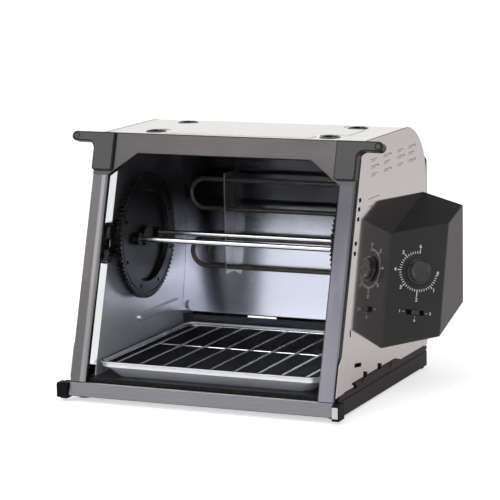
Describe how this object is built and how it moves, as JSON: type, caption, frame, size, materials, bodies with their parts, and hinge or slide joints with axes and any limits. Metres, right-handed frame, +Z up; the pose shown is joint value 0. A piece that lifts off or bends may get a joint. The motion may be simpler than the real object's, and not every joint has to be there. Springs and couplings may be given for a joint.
{
  "type": "rotisserie oven",
  "caption": "Countertop rotisserie oven with a leaning glass door, toothed-wheel spit, drip tray with wire grate and a faceted timer housing on its right side.",
  "frame": {"origin": "middle of the footprint, on the table under the feet", "axes": "+X to the right seen from the door, +Y from the door to the back, +Z up"},
  "size_m": [0.4584, 0.3534, 0.336],
  "materials": {
    "polished_steel": "polished stainless sheet with a faint grain",
    "frame_steel": "satin stainless door bars",
    "bright_steel": "mirror polish",
    "cavity_steel": "satin sheet inside the cavity",
    "tray_aluminium": "pressed, bright",
    "wire": "plated wire",
    "element_sheath": "dark oxidised sheath",
    "black_plastic": "fine-grained moulding",
    "gloss_black": "smooth moulding",
    "handle_plastic": "charcoal, heat resistant",
    "black_enamel": "black enamel",
    "wheel_plate": "dark non-stick coat",
    "rubber": "matt",
    "clear_glass": "clear tempered",
    "ceramic": "unglazed",
    "bronze": "oil-filled bearing bronze",
    "plated_steel": "zinc plated",
    "machine_grey": "plain grey"
  },
  "bodies": {
    "oven_body": {"base_tray": "black_plastic", "rubber_feet": "rubber", "outer_wrap": "polished_steel", "top_rest_cups": "black_plastic", "rear_cover": "black_enamel", "cord_gland": "rubber", "side_panel_left": "polished_steel", "side_panel_right": "polished_steel", "inner_wall_left": "cavity_steel", "inner_wall_right": "cavity_steel", "inner_roof": "cavity_steel", "inner_floor": "cavity_steel", "front_sill": "bright_steel", "rear_reflector": "bright_steel", "heating_element": "element_sheath", "element_clips": "plated_steel", "element_terminals": "ceramic", "thermal_cutout": "gloss_black", "wheel_rest_left": "black_plastic", "wheel_rest_right": "black_plastic", "hinge_block_left": "gloss_black", "hinge_block_right": "gloss_black", "hinge_cap": "black_plastic", "hinge_plate": "bright_steel", "control_housing": "black_plastic", "timer_body": "machine_grey", "switch_body": "gloss_black", "terminal_block": "ceramic", "gearbox": "machine_grey", "gear_motor": "machine_grey", "drive_bushing": "bronze", "side_panel_screws": "plated_steel", "rear_cover_screws": "plated_steel", "base_screws": "plated_steel"},
    "door": {"door_top_rail": "frame_steel", "door_stile_left": "frame_steel", "door_stile_right": "frame_steel", "door_bottom_rail": "frame_steel", "door_back_frame": "black_enamel", "door_glass": "clear_glass", "glass_gasket": "rubber", "handle_left": "handle_plastic", "handle_right": "handle_plastic", "handle_screws": "plated_steel", "hinge_pins": "plated_steel", "door_bumpers": "rubber"},
    "spit": {"spit_wheel_left": "wheel_plate", "spit_wheel_right": "wheel_plate", "spit_rod_front": "wire", "spit_rod_rear": "wire"},
    "drive": {"drive_gear": "machine_grey", "drive_shaft": "plated_steel"},
    "timer_knob": {"timer_knob": "black_plastic", "timer_shaft": "plated_steel"},
    "switch_slider": {"switch_slider": "gloss_black"},
    "drip_tray": {"drip_tray": "tray_aluminium"},
    "grate": {"grate": "wire"}
  },
  "joints": [
    {"name": "door_hinge", "type": "hinge", "parent": "oven_body", "child": "door", "pos_m": [-0.01425, -0.167, 0.0132], "axis": [1, 0, 0], "range_deg": [0, 107]},
    {"name": "spit_spin", "type": "hinge", "parent": "oven_body", "child": "spit", "pos_m": [-0.01425, -0.00185, 0.19], "axis": [1, 0, 0], "continuous": true},
    {"name": "drive_spin", "type": "hinge", "parent": "oven_body", "child": "drive", "pos_m": [0.13675, 0.09107, 0.1651], "axis": [1, 0, 0], "continuous": true},
    {"name": "timer_turn", "type": "hinge", "parent": "oven_body", "child": "timer_knob", "pos_m": [0.20143, 0.04653, 0.15299], "axis": [-0.6293, 0.75, -0.2038], "range_deg": [0, 270]},
    {"name": "switch_slide", "type": "slide", "parent": "oven_body", "child": "switch_slider", "axis": [0.7772, 0.6073, -0.165], "range_m": [-0.007, 0.007]},
    {"name": "tray_slide", "type": "slide", "parent": "oven_body", "child": "drip_tray", "axis": [0, -1, 0], "range_m": [-0.004, 0.003]},
    {"name": "grate_lift", "type": "slide", "parent": "drip_tray", "child": "grate", "axis": [0, 0, 1], "range_m": [0, 0.01]}
  ],
  "couplings": [
    {"joint": "drive_spin", "follows": "spit_spin", "ratio": -5.8571}
  ]
}
